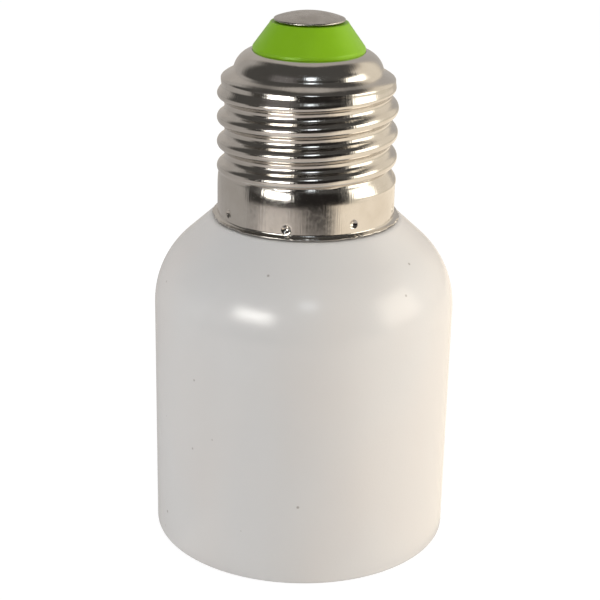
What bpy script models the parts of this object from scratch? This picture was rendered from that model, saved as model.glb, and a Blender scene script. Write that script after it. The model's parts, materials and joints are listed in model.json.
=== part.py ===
"""Lamp socket adapter: an E27 screw cap on top, an E40 socket in the open base.

Blender 4.5 script in metres, +Z up. The origin is the centre of the open rim,
on which the adapter stands. Run it with: blender --background --python part.py
"""

import math

import bmesh
import bpy
from mathutils import Matrix, Vector

# Clearances: RUN_GAP around what slides in or passes through, FACE_GAP between stacked faces
RUN_GAP = 0.0003
FACE_GAP = 0.0002

# E40 socket shell, a rolled thread seen from inside
SOCKET_MAJOR = 0.0199
SOCKET_MINOR = 0.0181
SOCKET_PITCH = 0.00635
SOCKET_SHEET = 0.0004
SOCKET_MOUTH = 0.004
SOCKET_LIP = 0.0016
SOCKET_TOP_BEND = 0.0008
FLANGE_WIDTH = 0.0044

# Plastic housing
SHELL_CLEARANCE = 0.0004
BODY_WALL = 0.0018
BODY_STRAIGHT = 0.0363
RIM_ROUND = 0.0004
SHOULDER_ROUND = 0.0131
SHOULDER_SLOPE = math.radians(47.8)
SHOULDER_WALL = 0.002
LANDING_MARGIN = 0.0002
LEDGE_RISE = 0.0023
LEDGE_WIDTH = 0.0018
NECK_WALL = 0.0018
NECK_HEIGHT = 0.0162
NECK_CHAMFER = 0.0004
BOSS_RADIUS = 0.0032
PILOT_DEPTH = 0.007

# E27 cap shell, heights counted up from the landing on the shoulder
CAP_MAJOR = 0.0132
CAP_MINOR = 0.0121
CAP_PITCH = 0.003629
CAP_SHEET = 0.00035
CAP_SKIRT = 0.0131
CAP_HEM_FLARE = 0.0008
SKIRT_HEIGHT = 0.0065
FIRST_CREST = 0.0093
THREAD_LENGTH = 0.0155
CAP_RUN_IN = 0.0018
DOME_WALL = 0.01085
DOME_OPENING = 0.0086
DOME_HEIGHT = 0.0026
DOME_ROUND = 0.0034

# Green insulator in the cap's end, and the contact on it
CONE_FOOT = 0.0006
CONE_HEIGHT = 0.0034
CONE_TOP = 0.006
CONE_EDGE = 0.0003
CONE_WALL = 0.0014
INSULATOR_FLANGE = 0.0009
FLANGE_THICKNESS = 0.0013
PIN_RADIUS = 0.0014
PIN_BOSS_WALL = 0.0017
PIN_BOSS_LENGTH = 0.0028
PIN_OUT = 0.004
PIN_BORE_DEPTH = 0.0032
CONTACT_RADIUS = 0.00515
CONTACT_EDGE = 0.00035
CONTACT_CROWN = 0.012
CONTACT_FLAT = 0.0016

# Seat that closes the socket, its rivets and screws
SEAT_THICKNESS = 0.0036
SEAT_EDGE = 0.0004
SHELL_RIVET = 0.0009
SHELL_RIVET_HEAD = 0.0017
RIVET_HEAD_HEIGHT = 0.0007
RIVET_CROWN_SHARE = 0.7
SCREW_RADIUS = 0.001
SCREW_HEAD = 0.0019
SCREW_HEAD_HEIGHT = 0.0014
SCREW_LENGTH = 0.0112
SCREW_SLOT = 0.0005

# Centre contact of the socket: a sprung leaf and the stud riveted in it
LEAF_THICKNESS = 0.0005
LEAF_WIDTH = 0.007
LEAF_ROOT_END = -0.0112
LEAF_BEND_START = -0.0074
LEAF_BEND_END = -0.0034
LEAF_TIP = 0.0044
LEAF_CURL = 0.0056
LEAF_CURL_RISE = 0.0007
LEAF_DROP = 0.0029
LEAF_BEND_ROUND = 0.0005
LEAF_RIVET = 0.0008
LEAF_RIVET_HEAD = 0.0014
LEAF_RIVET_X = -0.0093
LEAF_RIVET_Y = 0.0021
STUD_RADIUS = 0.0038
STUD_HEIGHT = 0.0021
STUD_EDGE = 0.0005
STUD_SHANK = 0.0013
STUD_TAIL = 0.0022
STUD_TAIL_HEIGHT = 0.0008
STUD_POCKET = 0.0012
STUD_POCKET_MARGIN = 0.0009
CONTACT_TRAVEL = 0.002

# Solder tags on the seat's upper side, and the two leads
TAG_THICKNESS = 0.0004
TAG_EDGE = 0.0001
BARREL_WALL = 0.0005
BARREL_HEIGHT = 0.003
NEUTRAL_TAG_WIDTH = 0.0044
NEUTRAL_TAG_OUT = 0.002
NEUTRAL_BARREL_Y = 0.0104
LIVE_TAG_MARGIN = 0.0018
LIVE_BARREL_X = -0.0062
CORE_RADIUS = 0.0005
SLEEVE_RADIUS = 0.0012
SLEEVE_BORE = 0.0008
STRIPPED_LENGTH = 0.0035
SLOT_DEPTH = 0.0085

# Faceting
HOUSING_STEPS = 44
THREAD_STEPS = 30
ROWS_PER_PITCH = 6
SMALL_STEPS = 14
ARC_STEP = math.radians(8)
COARSE_ARC_STEP = math.radians(30)
MERGE = 0.00001
OVERSHOOT = 0.0006

# Sizes that follow from those above
socket_top_radius = (SOCKET_MAJOR + SOCKET_MINOR) / 2
flange_outer = socket_top_radius - SOCKET_TOP_BEND
flange_inner = flange_outer - FLANGE_WIDTH
fixing_circle = (flange_outer + flange_inner) / 2
socket_outer = SOCKET_MAJOR + SOCKET_SHEET
body_bore = socket_outer + SHELL_CLEARANCE
body_radius = body_bore + BODY_WALL
neck_lower = CAP_SKIRT - CAP_SHEET - RUN_GAP
neck_upper = CAP_MINOR - CAP_SHEET - RUN_GAP
neck_bore = neck_upper - NECK_WALL
hem_radius = CAP_SKIRT + CAP_HEM_FLARE
landing_radius = hem_radius + LANDING_MARGIN
pin_bore = CORE_RADIUS + RUN_GAP

# Heights, from the rim up
arc_centre_radius = body_radius - SHOULDER_ROUND
slope_start_radius = arc_centre_radius + SHOULDER_ROUND * math.cos(SHOULDER_SLOPE)
slope_start_z = BODY_STRAIGHT + SHOULDER_ROUND * math.sin(SHOULDER_SLOPE)
landing_z = slope_start_z + (slope_start_radius - landing_radius) / math.tan(SHOULDER_SLOPE)
neck_top_z = landing_z + NECK_HEIGHT
hem_z = landing_z + FACE_GAP
thread_start_z = landing_z + SKIRT_HEIGHT
thread_end_z = thread_start_z + THREAD_LENGTH
opening_z = thread_end_z + DOME_HEIGHT
cone_base_z = opening_z + CONE_FOOT
cone_top_z = cone_base_z + CONE_HEIGHT
contact_z = cone_top_z + FACE_GAP
flange_top_z = opening_z - FLANGE_THICKNESS
flange_low_z = flange_top_z - FLANGE_THICKNESS
pin_boss_z = flange_low_z - PIN_BOSS_LENGTH
pin_low_z = pin_boss_z - PIN_OUT
ledge_z = BODY_STRAIGHT + LEDGE_RISE
seat_top_z = ledge_z - FACE_GAP
seat_low_z = seat_top_z - SEAT_THICKNESS
socket_top_z = seat_low_z - FACE_GAP
tag_low_z = seat_top_z + FACE_GAP
tag_top_z = tag_low_z + TAG_THICKNESS
leaf_root_z = seat_low_z - FACE_GAP - LEAF_THICKNESS / 2
leaf_tip_z = leaf_root_z - LEAF_DROP
stud_flat_z = leaf_tip_z - LEAF_THICKNESS / 2 - FACE_GAP - STUD_HEIGHT
stud_top_z = leaf_tip_z + LEAF_THICKNESS / 2 + FACE_GAP + STUD_TAIL_HEIGHT

PARTS_NAME = "lamp_socket_adapter"
CUTTERS_NAME = "cutters"

# Colour, roughness and metallic value of each finish
FINISHES = {
    "white_plastic": ((0.80, 0.77, 0.73), 0.42, 0.0),
    "nickel_shell": ((0.66, 0.63, 0.60), 0.18, 1.0),
    "green_plastic": ((0.34, 0.62, 0.02), 0.35, 0.0),
    "contact_metal": ((0.60, 0.57, 0.54), 0.25, 1.0),
    "socket_metal": ((0.68, 0.66, 0.62), 0.22, 1.0),
    "seat_ceramic": ((0.74, 0.72, 0.66), 0.55, 0.0),
    "spring_bronze": ((0.62, 0.42, 0.20), 0.30, 1.0),
    "rivet_brass": ((0.70, 0.55, 0.28), 0.30, 1.0),
    "screw_steel": ((0.56, 0.56, 0.57), 0.28, 1.0),
    "bare_copper": ((0.66, 0.36, 0.22), 0.30, 1.0),
    "live_sleeve": ((0.20, 0.07, 0.03), 0.45, 0.0),
    "neutral_sleeve": ((0.03, 0.13, 0.50), 0.45, 0.0),
}


def clear_scene():
    for item in list(bpy.data.objects):
        bpy.data.objects.remove(item, do_unlink=True)


def new_collection(name):
    collection = bpy.data.collections.new(name)
    bpy.context.scene.collection.children.link(collection)
    return collection


def finish(name):
    """The Principled material of one finish, made once and shared."""
    material = bpy.data.materials.get(name)
    if material is None:
        colour, roughness, metallic = FINISHES[name]
        material = bpy.data.materials.new(name)
        material.use_nodes = True
        shader = material.node_tree.nodes["Principled BSDF"]
        shader.inputs["Base Color"].default_value = (*colour, 1.0)
        shader.inputs["Roughness"].default_value = roughness
        shader.inputs["Metallic"].default_value = metallic
        material.diffuse_color = (*colour, 1.0)
    return material


def add_part(name, data, finish_name):
    part = bpy.data.objects.new(name, data)
    data.materials.clear()
    data.materials.append(finish(finish_name))
    bpy.data.collections[PARTS_NAME].objects.link(part)
    return part


def add_cutter(name, mesh):
    cutter = bpy.data.objects.new(name, mesh)
    cutter.hide_render = True
    cutter.display_type = "WIRE"
    bpy.data.collections[CUTTERS_NAME].objects.link(cutter)
    return cutter


def arc(centre_r, centre_z, radius, start, end, step=ARC_STEP):
    """Points of an arc in the (r, z) plane; angles from the +r direction."""
    count = max(2, math.ceil(abs(end - start) / step))
    angles = [start + (end - start) * i / count for i in range(count + 1)]
    return [(centre_r + radius * math.cos(a), centre_z + radius * math.sin(a)) for a in angles]


def add_screw(part, steps):
    """Turn a profile once round Z."""
    turn = part.modifiers.new("turn", "SCREW")
    turn.axis = "Z"
    turn.angle = math.tau
    turn.steps = steps
    turn.render_steps = steps
    turn.use_merge_vertices = True
    turn.merge_threshold = MERGE
    turn.use_smooth_shade = True


def profile_mesh(name, points, closed=False):
    """A line of (r, z) points, outer side first and running down."""
    mesh = bpy.data.meshes.new(name)
    edges = [(i, i + 1) for i in range(len(points) - 1)]
    if closed:
        edges.append((len(points) - 1, 0))
    mesh.from_pydata([(r, 0.0, z) for r, z in points], edges, [])
    return mesh


def turned_part(name, points, finish_name, steps=SMALL_STEPS, closed=False, at=(0.0, 0.0)):
    part = add_part(name, profile_mesh(name, points, closed), finish_name)
    part.location = (at[0], at[1], 0.0)
    add_screw(part, steps)
    return part


def turned_cutter(name, points, steps=SMALL_STEPS, closed=False):
    cutter = add_cutter(name, profile_mesh(name, points, closed))
    add_screw(cutter, steps)
    return cutter


def posts_mesh(name, posts):
    """Upright cylinders in one mesh, each given as (x, y, radius, low z, high z)."""
    shape = bmesh.new()
    for x, y, radius, low, high in posts:
        place = Matrix.Translation((x, y, (low + high) / 2))
        bmesh.ops.create_cone(shape, cap_ends=True, segments=SMALL_STEPS, radius1=radius,
                              radius2=radius, depth=high - low, matrix=place)
    mesh = bpy.data.meshes.new(name)
    shape.to_mesh(mesh)
    shape.free()
    return mesh


def box_mesh(name, low, high):
    shape = bmesh.new()
    size = [b - a for a, b in zip(low, high)]
    centre = [(a + b) / 2 for a, b in zip(low, high)]
    bmesh.ops.create_cube(shape, size=1.0,
                          matrix=Matrix.Translation(centre) @ Matrix.Diagonal((*size, 1.0)))
    mesh = bpy.data.meshes.new(name)
    shape.to_mesh(mesh)
    shape.free()
    return mesh


def combine(part, cutter, operation="DIFFERENCE"):
    boolean = part.modifiers.new(cutter.name, "BOOLEAN")
    boolean.operation = operation
    boolean.solver = "EXACT"
    boolean.object = cutter


def add_edge_bevel(part, width):
    bevel = part.modifiers.new("edges", "BEVEL")
    bevel.width = width
    bevel.segments = 1
    bevel.limit_method = "ANGLE"


def applied_mesh(part):
    """The evaluated mesh of an object, which is then removed."""
    graph = bpy.context.evaluated_depsgraph_get()
    mesh = bpy.data.meshes.new_from_object(part.evaluated_get(graph))
    bpy.data.objects.remove(part, do_unlink=True)
    return mesh


def thread_wave(phase, pitch, major, minor):
    """Radius of a rolled thread: crest and root are equal arcs that meet halfway."""
    quarter = pitch / 4
    half_depth = (major - minor) / 2
    radius = (quarter ** 2 + half_depth ** 2) / (2 * half_depth)
    from_crest = abs(phase - round(phase)) * pitch
    if from_crest <= quarter:
        return major - radius + math.sqrt(radius ** 2 - from_crest ** 2)
    from_root = pitch / 2 - from_crest
    return minor + radius - math.sqrt(radius ** 2 - from_root ** 2)


def ease(value):
    value = min(1.0, max(0.0, value))
    return value * value * (3 - 2 * value)


def rolled_shell(name, points, finish_name, radius_at, sheet, outward):
    """Turn a profile, press the thread into it and give it the sheet's thickness."""
    line = bpy.data.objects.new(name + "_line", profile_mesh(name, points))
    bpy.context.scene.collection.objects.link(line)
    add_screw(line, THREAD_STEPS)
    mesh = applied_mesh(line)
    for vertex in mesh.vertices:
        x, y, z = vertex.co
        plain = math.hypot(x, y)
        scale = radius_at(plain, z, math.atan2(y, x) / math.tau) / plain
        vertex.co = (x * scale, y * scale, z)
    mesh.update()
    part = add_part(name, mesh, finish_name)
    wall = part.modifiers.new("sheet", "SOLIDIFY")
    wall.thickness = sheet
    wall.offset = 1.0 if outward else -1.0
    wall.use_even_offset = True
    return part


def shoulder_profile(inset, low_radius, low_z, top_radius):
    """The shoulder inset by a wall, from the neck at top_radius down to the straight wall."""
    centre_r, centre_z = arc_centre_radius, BODY_STRAIGHT
    radius = SHOULDER_ROUND - inset
    lowest = max(0.0, math.acos(min(1.0, (low_radius - centre_r) / radius)))
    curve = arc(centre_r, centre_z, radius, SHOULDER_SLOPE, lowest)
    top_z = curve[0][1] + (curve[0][0] - top_radius) / math.tan(SHOULDER_SLOPE)
    return [(top_radius, top_z)] + curve + [(low_radius, low_z)]


def build_housing():
    """White plastic body: bore for the socket, domed shoulder and hollow neck."""
    step_z = thread_start_z - CAP_RUN_IN / 2
    outline = [(0.0, neck_top_z), (neck_upper - NECK_CHAMFER, neck_top_z),
               (neck_upper, neck_top_z - NECK_CHAMFER),
               (neck_upper, step_z), (neck_lower, step_z - (neck_lower - neck_upper)),
               (neck_lower, landing_z)]
    outline += shoulder_profile(0.0, body_radius, RIM_ROUND, landing_radius)
    outline += [(body_radius - RIM_ROUND, 0.0), (0.0, 0.0)]
    housing = turned_part("housing", outline, "white_plastic", HOUSING_STEPS)
    slot_half = CORE_RADIUS + RUN_GAP
    combine(housing, add_cutter("neck_slot", box_mesh(
        "neck_slot", (-slot_half, neck_bore / 2, neck_top_z - SLOT_DEPTH),
        (slot_half, neck_lower + OVERSHOOT, neck_top_z + OVERSHOOT))))

    chamber_radius = body_bore - LEDGE_WIDTH
    core = [(0.0, neck_top_z + OVERSHOOT), (neck_bore, neck_top_z + OVERSHOOT)]
    core += shoulder_profile(SHOULDER_WALL, chamber_radius, ledge_z, neck_bore)
    core += [(body_bore, ledge_z), (body_bore, -OVERSHOOT), (0.0, -OVERSHOOT)]
    mould_core = turned_cutter("mould_core", core, HOUSING_STEPS)
    bosses = [(side * fixing_circle, 0.0, BOSS_RADIUS, ledge_z + FACE_GAP, neck_top_z)
              for side in (-1, 1)]
    combine(mould_core, add_cutter("boss_posts", posts_mesh("boss_posts", bosses)))
    pilot = SCREW_RADIUS + RUN_GAP
    pilots = [(side * fixing_circle, 0.0, pilot, ledge_z - OVERSHOOT, ledge_z + PILOT_DEPTH)
              for side in (-1, 1)]
    combine(mould_core, add_cutter("pilot_pins", posts_mesh("pilot_pins", pilots)), "UNION")
    combine(housing, mould_core)


def build_cap_shell():
    """E27 cap: hem, skirt, rolled thread and dome with its opening."""
    dome = dome_profile()
    rows = math.ceil(THREAD_LENGTH / CAP_PITCH * ROWS_PER_PITCH)
    thread = [(CAP_SKIRT, thread_end_z - THREAD_LENGTH * i / rows) for i in range(1, rows + 1)]
    hem = arc(hem_radius, hem_z + CAP_SHEET + CAP_HEM_FLARE, CAP_HEM_FLARE, math.pi, math.pi * 1.5,
              COARSE_ARC_STEP)

    def radius_at(plain, z, turn):
        if z > thread_end_z or z < thread_start_z:
            return plain
        wave = thread_wave((z - landing_z - FIRST_CREST) / CAP_PITCH - turn,
                           CAP_PITCH, CAP_MAJOR, CAP_MINOR)
        rise = ease((z - thread_start_z) / CAP_RUN_IN)
        fall = ease((thread_end_z - z) / CAP_RUN_IN)
        return CAP_SKIRT + (wave - CAP_SKIRT) * rise + (DOME_WALL - wave) * (1 - fall)

    rolled_shell("cap_shell", dome + thread + hem, "nickel_shell", radius_at,
                 CAP_SHEET, outward=False)


def dome_profile():
    """Arc from the opening down to the dome's wall, where the thread ends."""
    start, end = Vector((DOME_OPENING, opening_z)), Vector((DOME_WALL, thread_end_z))
    middle, chord = (start + end) / 2, end - start
    inward = Vector((chord.y, -chord.x)).normalized()
    centre = middle + inward * math.sqrt(DOME_ROUND ** 2 - (chord.length / 2) ** 2)
    angles = [math.atan2(p.y - centre.y, p.x - centre.x) for p in (start, end)]
    return arc(centre.x, centre.y, DOME_ROUND, *angles)


def build_tip_insulator():
    """Green moulding: cone on a short foot in the cap's opening, flange and hollow below it."""
    base = DOME_OPENING - CAP_SHEET - FACE_GAP
    flange = base + INSULATOR_FLANGE
    pin_hole = PIN_RADIUS + RUN_GAP
    boss = pin_hole + PIN_BOSS_WALL
    slope = (base - CONE_TOP) / CONE_HEIGHT
    ceiling_z = cone_top_z - CONE_WALL
    outline = [(pin_hole, cone_top_z), (CONE_TOP - CONE_EDGE, cone_top_z),
               (CONE_TOP, cone_top_z - CONE_EDGE), (base, cone_base_z), (base, flange_top_z),
               (flange, flange_top_z), (flange, flange_low_z), (base - CONE_WALL, flange_low_z),
               (base - CONE_WALL, cone_base_z), (CONE_TOP + slope * CONE_WALL - CONE_WALL, ceiling_z),
               (boss, ceiling_z), (boss, pin_boss_z), (pin_hole, pin_boss_z)]
    turned_part("tip_insulator", outline, "green_plastic", THREAD_STEPS, closed=True)


def build_tip_contact():
    """Domed contact with a hollow pin that takes the live lead."""
    centre_z = contact_z + CONTACT_EDGE - math.sqrt(CONTACT_CROWN ** 2 - CONTACT_RADIUS ** 2)
    start = math.acos(CONTACT_FLAT / CONTACT_CROWN)
    end = math.acos(CONTACT_RADIUS / CONTACT_CROWN)
    crown = arc(0.0, centre_z, CONTACT_CROWN, start, end)
    bore_z = pin_low_z + PIN_BORE_DEPTH
    outline = [(0.0, crown[0][1])] + crown
    outline += [(CONTACT_RADIUS, contact_z), (PIN_RADIUS, contact_z), (PIN_RADIUS, pin_low_z),
                (pin_bore, pin_low_z), (pin_bore, bore_z), (0.0, bore_z)]
    turned_part("tip_contact", outline, "contact_metal", THREAD_STEPS)


def build_socket_shell():
    """E40 socket: plain lip, rolled thread and an inward flange against the seat."""
    flange_z = socket_top_z - SOCKET_SHEET
    thread_low = SOCKET_MOUTH + SOCKET_LIP
    thread_high = flange_z - SOCKET_TOP_BEND
    length = thread_high - thread_low
    rows = math.ceil(length / SOCKET_PITCH * ROWS_PER_PITCH)
    bend = arc(flange_outer, thread_high, SOCKET_TOP_BEND, math.pi / 2, 0.0,
               COARSE_ARC_STEP)
    points = [(flange_inner, flange_z)] + bend
    points += [(socket_top_radius, thread_high - length * i / rows) for i in range(1, rows + 1)]
    points.append((socket_top_radius, SOCKET_MOUTH))

    def radius_at(plain, z, turn):
        if z > thread_high:
            return plain
        wave = thread_wave((z - SOCKET_MOUTH) / SOCKET_PITCH - turn,
                           SOCKET_PITCH, SOCKET_MAJOR, SOCKET_MINOR)
        lip = ease((z - thread_low) / SOCKET_PITCH)
        top = ease((thread_high - z) / SOCKET_PITCH)
        return SOCKET_MAJOR * (1 - lip) + wave * (lip + top - 1) + socket_top_radius * (1 - top)

    shell = rolled_shell("socket_shell", points, "socket_metal", radius_at, SOCKET_SHEET,
                         outward=True)
    combine(shell, add_cutter("flange_posts", posts_mesh("flange_posts", fixing_holes(
        flange_z - OVERSHOOT, socket_top_z + OVERSHOOT))))


def fixing_holes(low, high):
    """Screw holes on the X axis and rivet holes on the Y axis, on the fixing circle."""
    holes = []
    for side in (-1, 1):
        holes.append((side * fixing_circle, 0.0, SCREW_RADIUS + RUN_GAP, low, high))
        holes.append((0.0, side * fixing_circle, SHELL_RIVET + RUN_GAP, low, high))
    return holes


def leaf_rivet_places():
    return [(LEAF_RIVET_X, side * LEAF_RIVET_Y) for side in (-1, 1)]


def build_socket_seat():
    """Ceramic disc that closes the socket, with a pocket over the contact stud."""
    radius = body_bore - RUN_GAP
    outline = [(0.0, seat_top_z), (radius - SEAT_EDGE, seat_top_z), (radius, seat_top_z - SEAT_EDGE),
               (radius, seat_low_z + SEAT_EDGE), (radius - SEAT_EDGE, seat_low_z), (0.0, seat_low_z)]
    seat = turned_part("socket_seat", outline, "seat_ceramic", HOUSING_STEPS)
    low, high = seat_low_z - OVERSHOOT, seat_top_z + OVERSHOOT
    holes = fixing_holes(low, high)
    holes += [(x, y, LEAF_RIVET + RUN_GAP, low, high) for x, y in leaf_rivet_places()]
    pocket_z = max(seat_low_z, stud_top_z + CONTACT_TRAVEL) + STUD_POCKET
    holes.append((0.0, 0.0, STUD_TAIL + STUD_POCKET_MARGIN, low, pocket_z))
    combine(seat, add_cutter("seat_posts", posts_mesh("seat_posts", holes)))


def rounded_path(corners, radius):
    """Corners of an open path with each inner one replaced by a short curve."""
    path = [corners[0]]
    for before, corner, after in zip(corners, corners[1:], corners[2:]):
        start = corner + (before - corner).normalized() * radius
        end = corner + (after - corner).normalized() * radius
        for t in (0.0, 0.5, 1.0):
            path.append(start * (1 - t) ** 2 + corner * 2 * t * (1 - t) + end * t ** 2)
    path.append(corners[-1])
    return path


def build_contact_leaf():
    """Bronze strip: root riveted under the seat, free end carried down to the axis."""
    corners = [Vector((LEAF_ROOT_END, leaf_root_z)), Vector((LEAF_BEND_START, leaf_root_z)),
               Vector((LEAF_BEND_END, leaf_tip_z)), Vector((LEAF_TIP, leaf_tip_z)),
               Vector((LEAF_CURL, leaf_tip_z + LEAF_CURL_RISE))]
    path = rounded_path(corners, LEAF_BEND_ROUND)
    half = LEAF_WIDTH / 2
    mesh = bpy.data.meshes.new("contact_leaf")
    points = [(p.x, side * half, p.y) for p in path for side in (-1, 1)]
    faces = [(2 * i, 2 * i + 2, 2 * i + 3, 2 * i + 1) for i in range(len(path) - 1)]
    mesh.from_pydata(points, [], faces)
    leaf = add_part("contact_leaf", mesh, "spring_bronze")
    strip = leaf.modifiers.new("strip", "SOLIDIFY")
    strip.thickness = LEAF_THICKNESS
    strip.offset = 0.0
    holes = [(x, y, LEAF_RIVET + RUN_GAP, leaf_root_z - LEAF_THICKNESS, leaf_root_z + LEAF_THICKNESS)
             for x, y in leaf_rivet_places()]
    holes.append((0.0, 0.0, STUD_SHANK + RUN_GAP, leaf_tip_z - LEAF_THICKNESS,
                  leaf_tip_z + LEAF_THICKNESS))
    combine(leaf, add_cutter("leaf_posts", posts_mesh("leaf_posts", holes)))


def build_contact_stud():
    """Button on the axis, riveted through the leaf; its lower face meets the lamp."""
    leaf_low = leaf_tip_z - LEAF_THICKNESS / 2 - FACE_GAP
    leaf_high = leaf_tip_z + LEAF_THICKNESS / 2 + FACE_GAP
    outline = [(0.0, leaf_high + STUD_TAIL_HEIGHT), (STUD_TAIL - STUD_EDGE, leaf_high + STUD_TAIL_HEIGHT),
               (STUD_TAIL, leaf_high + STUD_TAIL_HEIGHT - STUD_EDGE), (STUD_TAIL, leaf_high),
               (STUD_SHANK, leaf_high), (STUD_SHANK, leaf_low), (STUD_RADIUS, leaf_low),
               (STUD_RADIUS, stud_flat_z + STUD_EDGE), (STUD_RADIUS - STUD_EDGE, stud_flat_z),
               (0.0, stud_flat_z)]
    turned_part("contact_stud", outline, "rivet_brass", THREAD_STEPS)


def build_rivet(name, at, shank, head, low_z, high_z):
    """Rivet that grips a stack between low_z and high_z."""
    low, high = low_z - FACE_GAP, high_z + FACE_GAP
    crown = head * RIVET_CROWN_SHARE
    outline = [(0.0, high + RIVET_HEAD_HEIGHT), (crown, high + RIVET_HEAD_HEIGHT),
               (head, high + RIVET_HEAD_HEIGHT / 2), (head, high), (shank, high), (shank, low),
               (head, low), (head, low - RIVET_HEAD_HEIGHT / 2), (crown, low - RIVET_HEAD_HEIGHT),
               (0.0, low - RIVET_HEAD_HEIGHT)]
    turned_part(name, outline, "rivet_brass", at=at)


def build_rivets():
    flange_low = socket_top_z - SOCKET_SHEET
    for number, (side, high) in enumerate(((1, tag_top_z), (-1, seat_top_z)), start=1):
        build_rivet(f"shell_rivet_{number}", (0.0, side * fixing_circle), SHELL_RIVET,
                    SHELL_RIVET_HEAD, flange_low, high)
    leaf_low = leaf_root_z - LEAF_THICKNESS / 2
    for number, place in enumerate(leaf_rivet_places(), start=1):
        build_rivet(f"leaf_rivet_{number}", place, LEAF_RIVET, LEAF_RIVET_HEAD, leaf_low, tag_top_z)


def build_seat_screws():
    """Self-tapping screws through flange and seat into the housing's bosses."""
    bearing_z = socket_top_z - SOCKET_SHEET - FACE_GAP
    head_z = bearing_z - SCREW_HEAD_HEIGHT
    tip_z = bearing_z + SCREW_LENGTH
    edge = SCREW_HEAD_HEIGHT / 3
    outline = [(0.0, tip_z), (SCREW_RADIUS / 2, tip_z - SCREW_RADIUS / 2),
               (SCREW_RADIUS, tip_z - SCREW_RADIUS * 1.5), (SCREW_RADIUS, bearing_z),
               (SCREW_HEAD, bearing_z), (SCREW_HEAD, head_z + edge), (SCREW_HEAD - edge, head_z),
               (0.0, head_z)]
    for number, side in enumerate((1, -1), start=1):
        screw = turned_part(f"seat_screw_{number}", outline, "screw_steel",
                            at=(side * fixing_circle, 0.0))
        reach = SCREW_HEAD + OVERSHOOT
        slot = box_mesh(f"screw_slot_{number}",
                        (side * fixing_circle - SCREW_SLOT / 2, -reach, head_z - OVERSHOOT),
                        (side * fixing_circle + SCREW_SLOT / 2, reach, head_z + SCREW_SLOT))
        combine(screw, add_cutter(slot.name, slot))


def build_tag(name, low, high, holes, barrel_at):
    """Flat tag on the seat with an upright barrel for a stripped lead."""
    tag = add_part(name, box_mesh(name, (*low, tag_low_z), (*high, tag_top_z)), "rivet_brass")
    add_edge_bevel(tag, TAG_EDGE)
    inner = CORE_RADIUS + RUN_GAP
    outer = inner + BARREL_WALL
    root_z, top_z = tag_top_z - TAG_THICKNESS / 2, tag_top_z + BARREL_HEIGHT
    barrel = turned_cutter(f"{name}_barrel", [(outer, top_z), (outer, root_z), (inner, root_z),
                                              (inner, top_z)], closed=True)
    barrel.location = (*barrel_at, 0.0)
    combine(tag, barrel, "UNION")
    posts = [(x, y, radius, tag_low_z - OVERSHOOT, tag_top_z + OVERSHOOT) for x, y, radius in holes]
    combine(tag, add_cutter(f"{name}_posts", posts_mesh(f"{name}_posts", posts)))


def build_tags():
    half = NEUTRAL_TAG_WIDTH / 2
    build_tag("neutral_tag", (-half, NEUTRAL_BARREL_Y - half), (half, fixing_circle + NEUTRAL_TAG_OUT),
              [(0.0, fixing_circle, SHELL_RIVET + RUN_GAP)], (0.0, NEUTRAL_BARREL_Y))
    reach = LEAF_RIVET_Y + LIVE_TAG_MARGIN
    build_tag("live_tag", (LEAF_RIVET_X - LIVE_TAG_MARGIN, -reach),
              (LIVE_BARREL_X + LIVE_TAG_MARGIN, reach),
              [(x, y, LEAF_RIVET + RUN_GAP) for x, y in leaf_rivet_places()], (LIVE_BARREL_X, 0.0))


def smooth_route(points, per_span=3):
    """Points along a Catmull-Rom curve through the route's own points."""
    ends = [points[0] * 2 - points[1]] + points + [points[-1] * 2 - points[-2]]
    route = []
    for a, b, c, d in zip(ends, ends[1:], ends[2:], ends[3:]):
        for step in range(per_span):
            t = step / per_span
            route.append(0.5 * (2 * b + (c - a) * t + (2 * a - 5 * b + 4 * c - d) * t ** 2
                                + (3 * b - a - 3 * c + d) * t ** 3))
    route.append(points[-1])
    return route


def tube_curve(name, route, radius, filled):
    curve = bpy.data.curves.new(name, "CURVE")
    curve.dimensions = "3D"
    curve.bevel_depth = radius
    curve.bevel_resolution = 2
    curve.use_fill_caps = filled
    spline = curve.splines.new("POLY")
    spline.points.add(len(route) - 1)
    for point, place in zip(spline.points, route):
        point.co = (*place, 1.0)
    return curve


def cut_route(route, low_z, high_z):
    """The part of a rising route between two heights."""
    cut = []
    for a, b in zip(route, route[1:]):
        for height in (low_z, high_z):
            if a.z < height <= b.z:
                cut.append(a.lerp(b, (height - a.z) / (b.z - a.z)))
        if low_z + OVERSHOOT < b.z < high_z - OVERSHOOT:
            cut.append(b)
    return cut


def build_lead(name, route_points, sleeve_low_z, sleeve_high_z, sleeve_finish):
    """Stripped copper core, and the sleeve over its middle."""
    route = smooth_route(route_points)
    add_part(f"{name}_core", tube_curve(f"{name}_core", route, CORE_RADIUS, True), "bare_copper")
    covered = cut_route(route, sleeve_low_z, sleeve_high_z)
    sleeve = add_part(f"{name}_sleeve", tube_curve(f"{name}_sleeve", covered, SLEEVE_RADIUS, False),
                      sleeve_finish)
    wall = sleeve.modifiers.new("wall", "SOLIDIFY")
    wall.thickness = SLEEVE_RADIUS - SLEEVE_BORE
    wall.offset = -1.0


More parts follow.
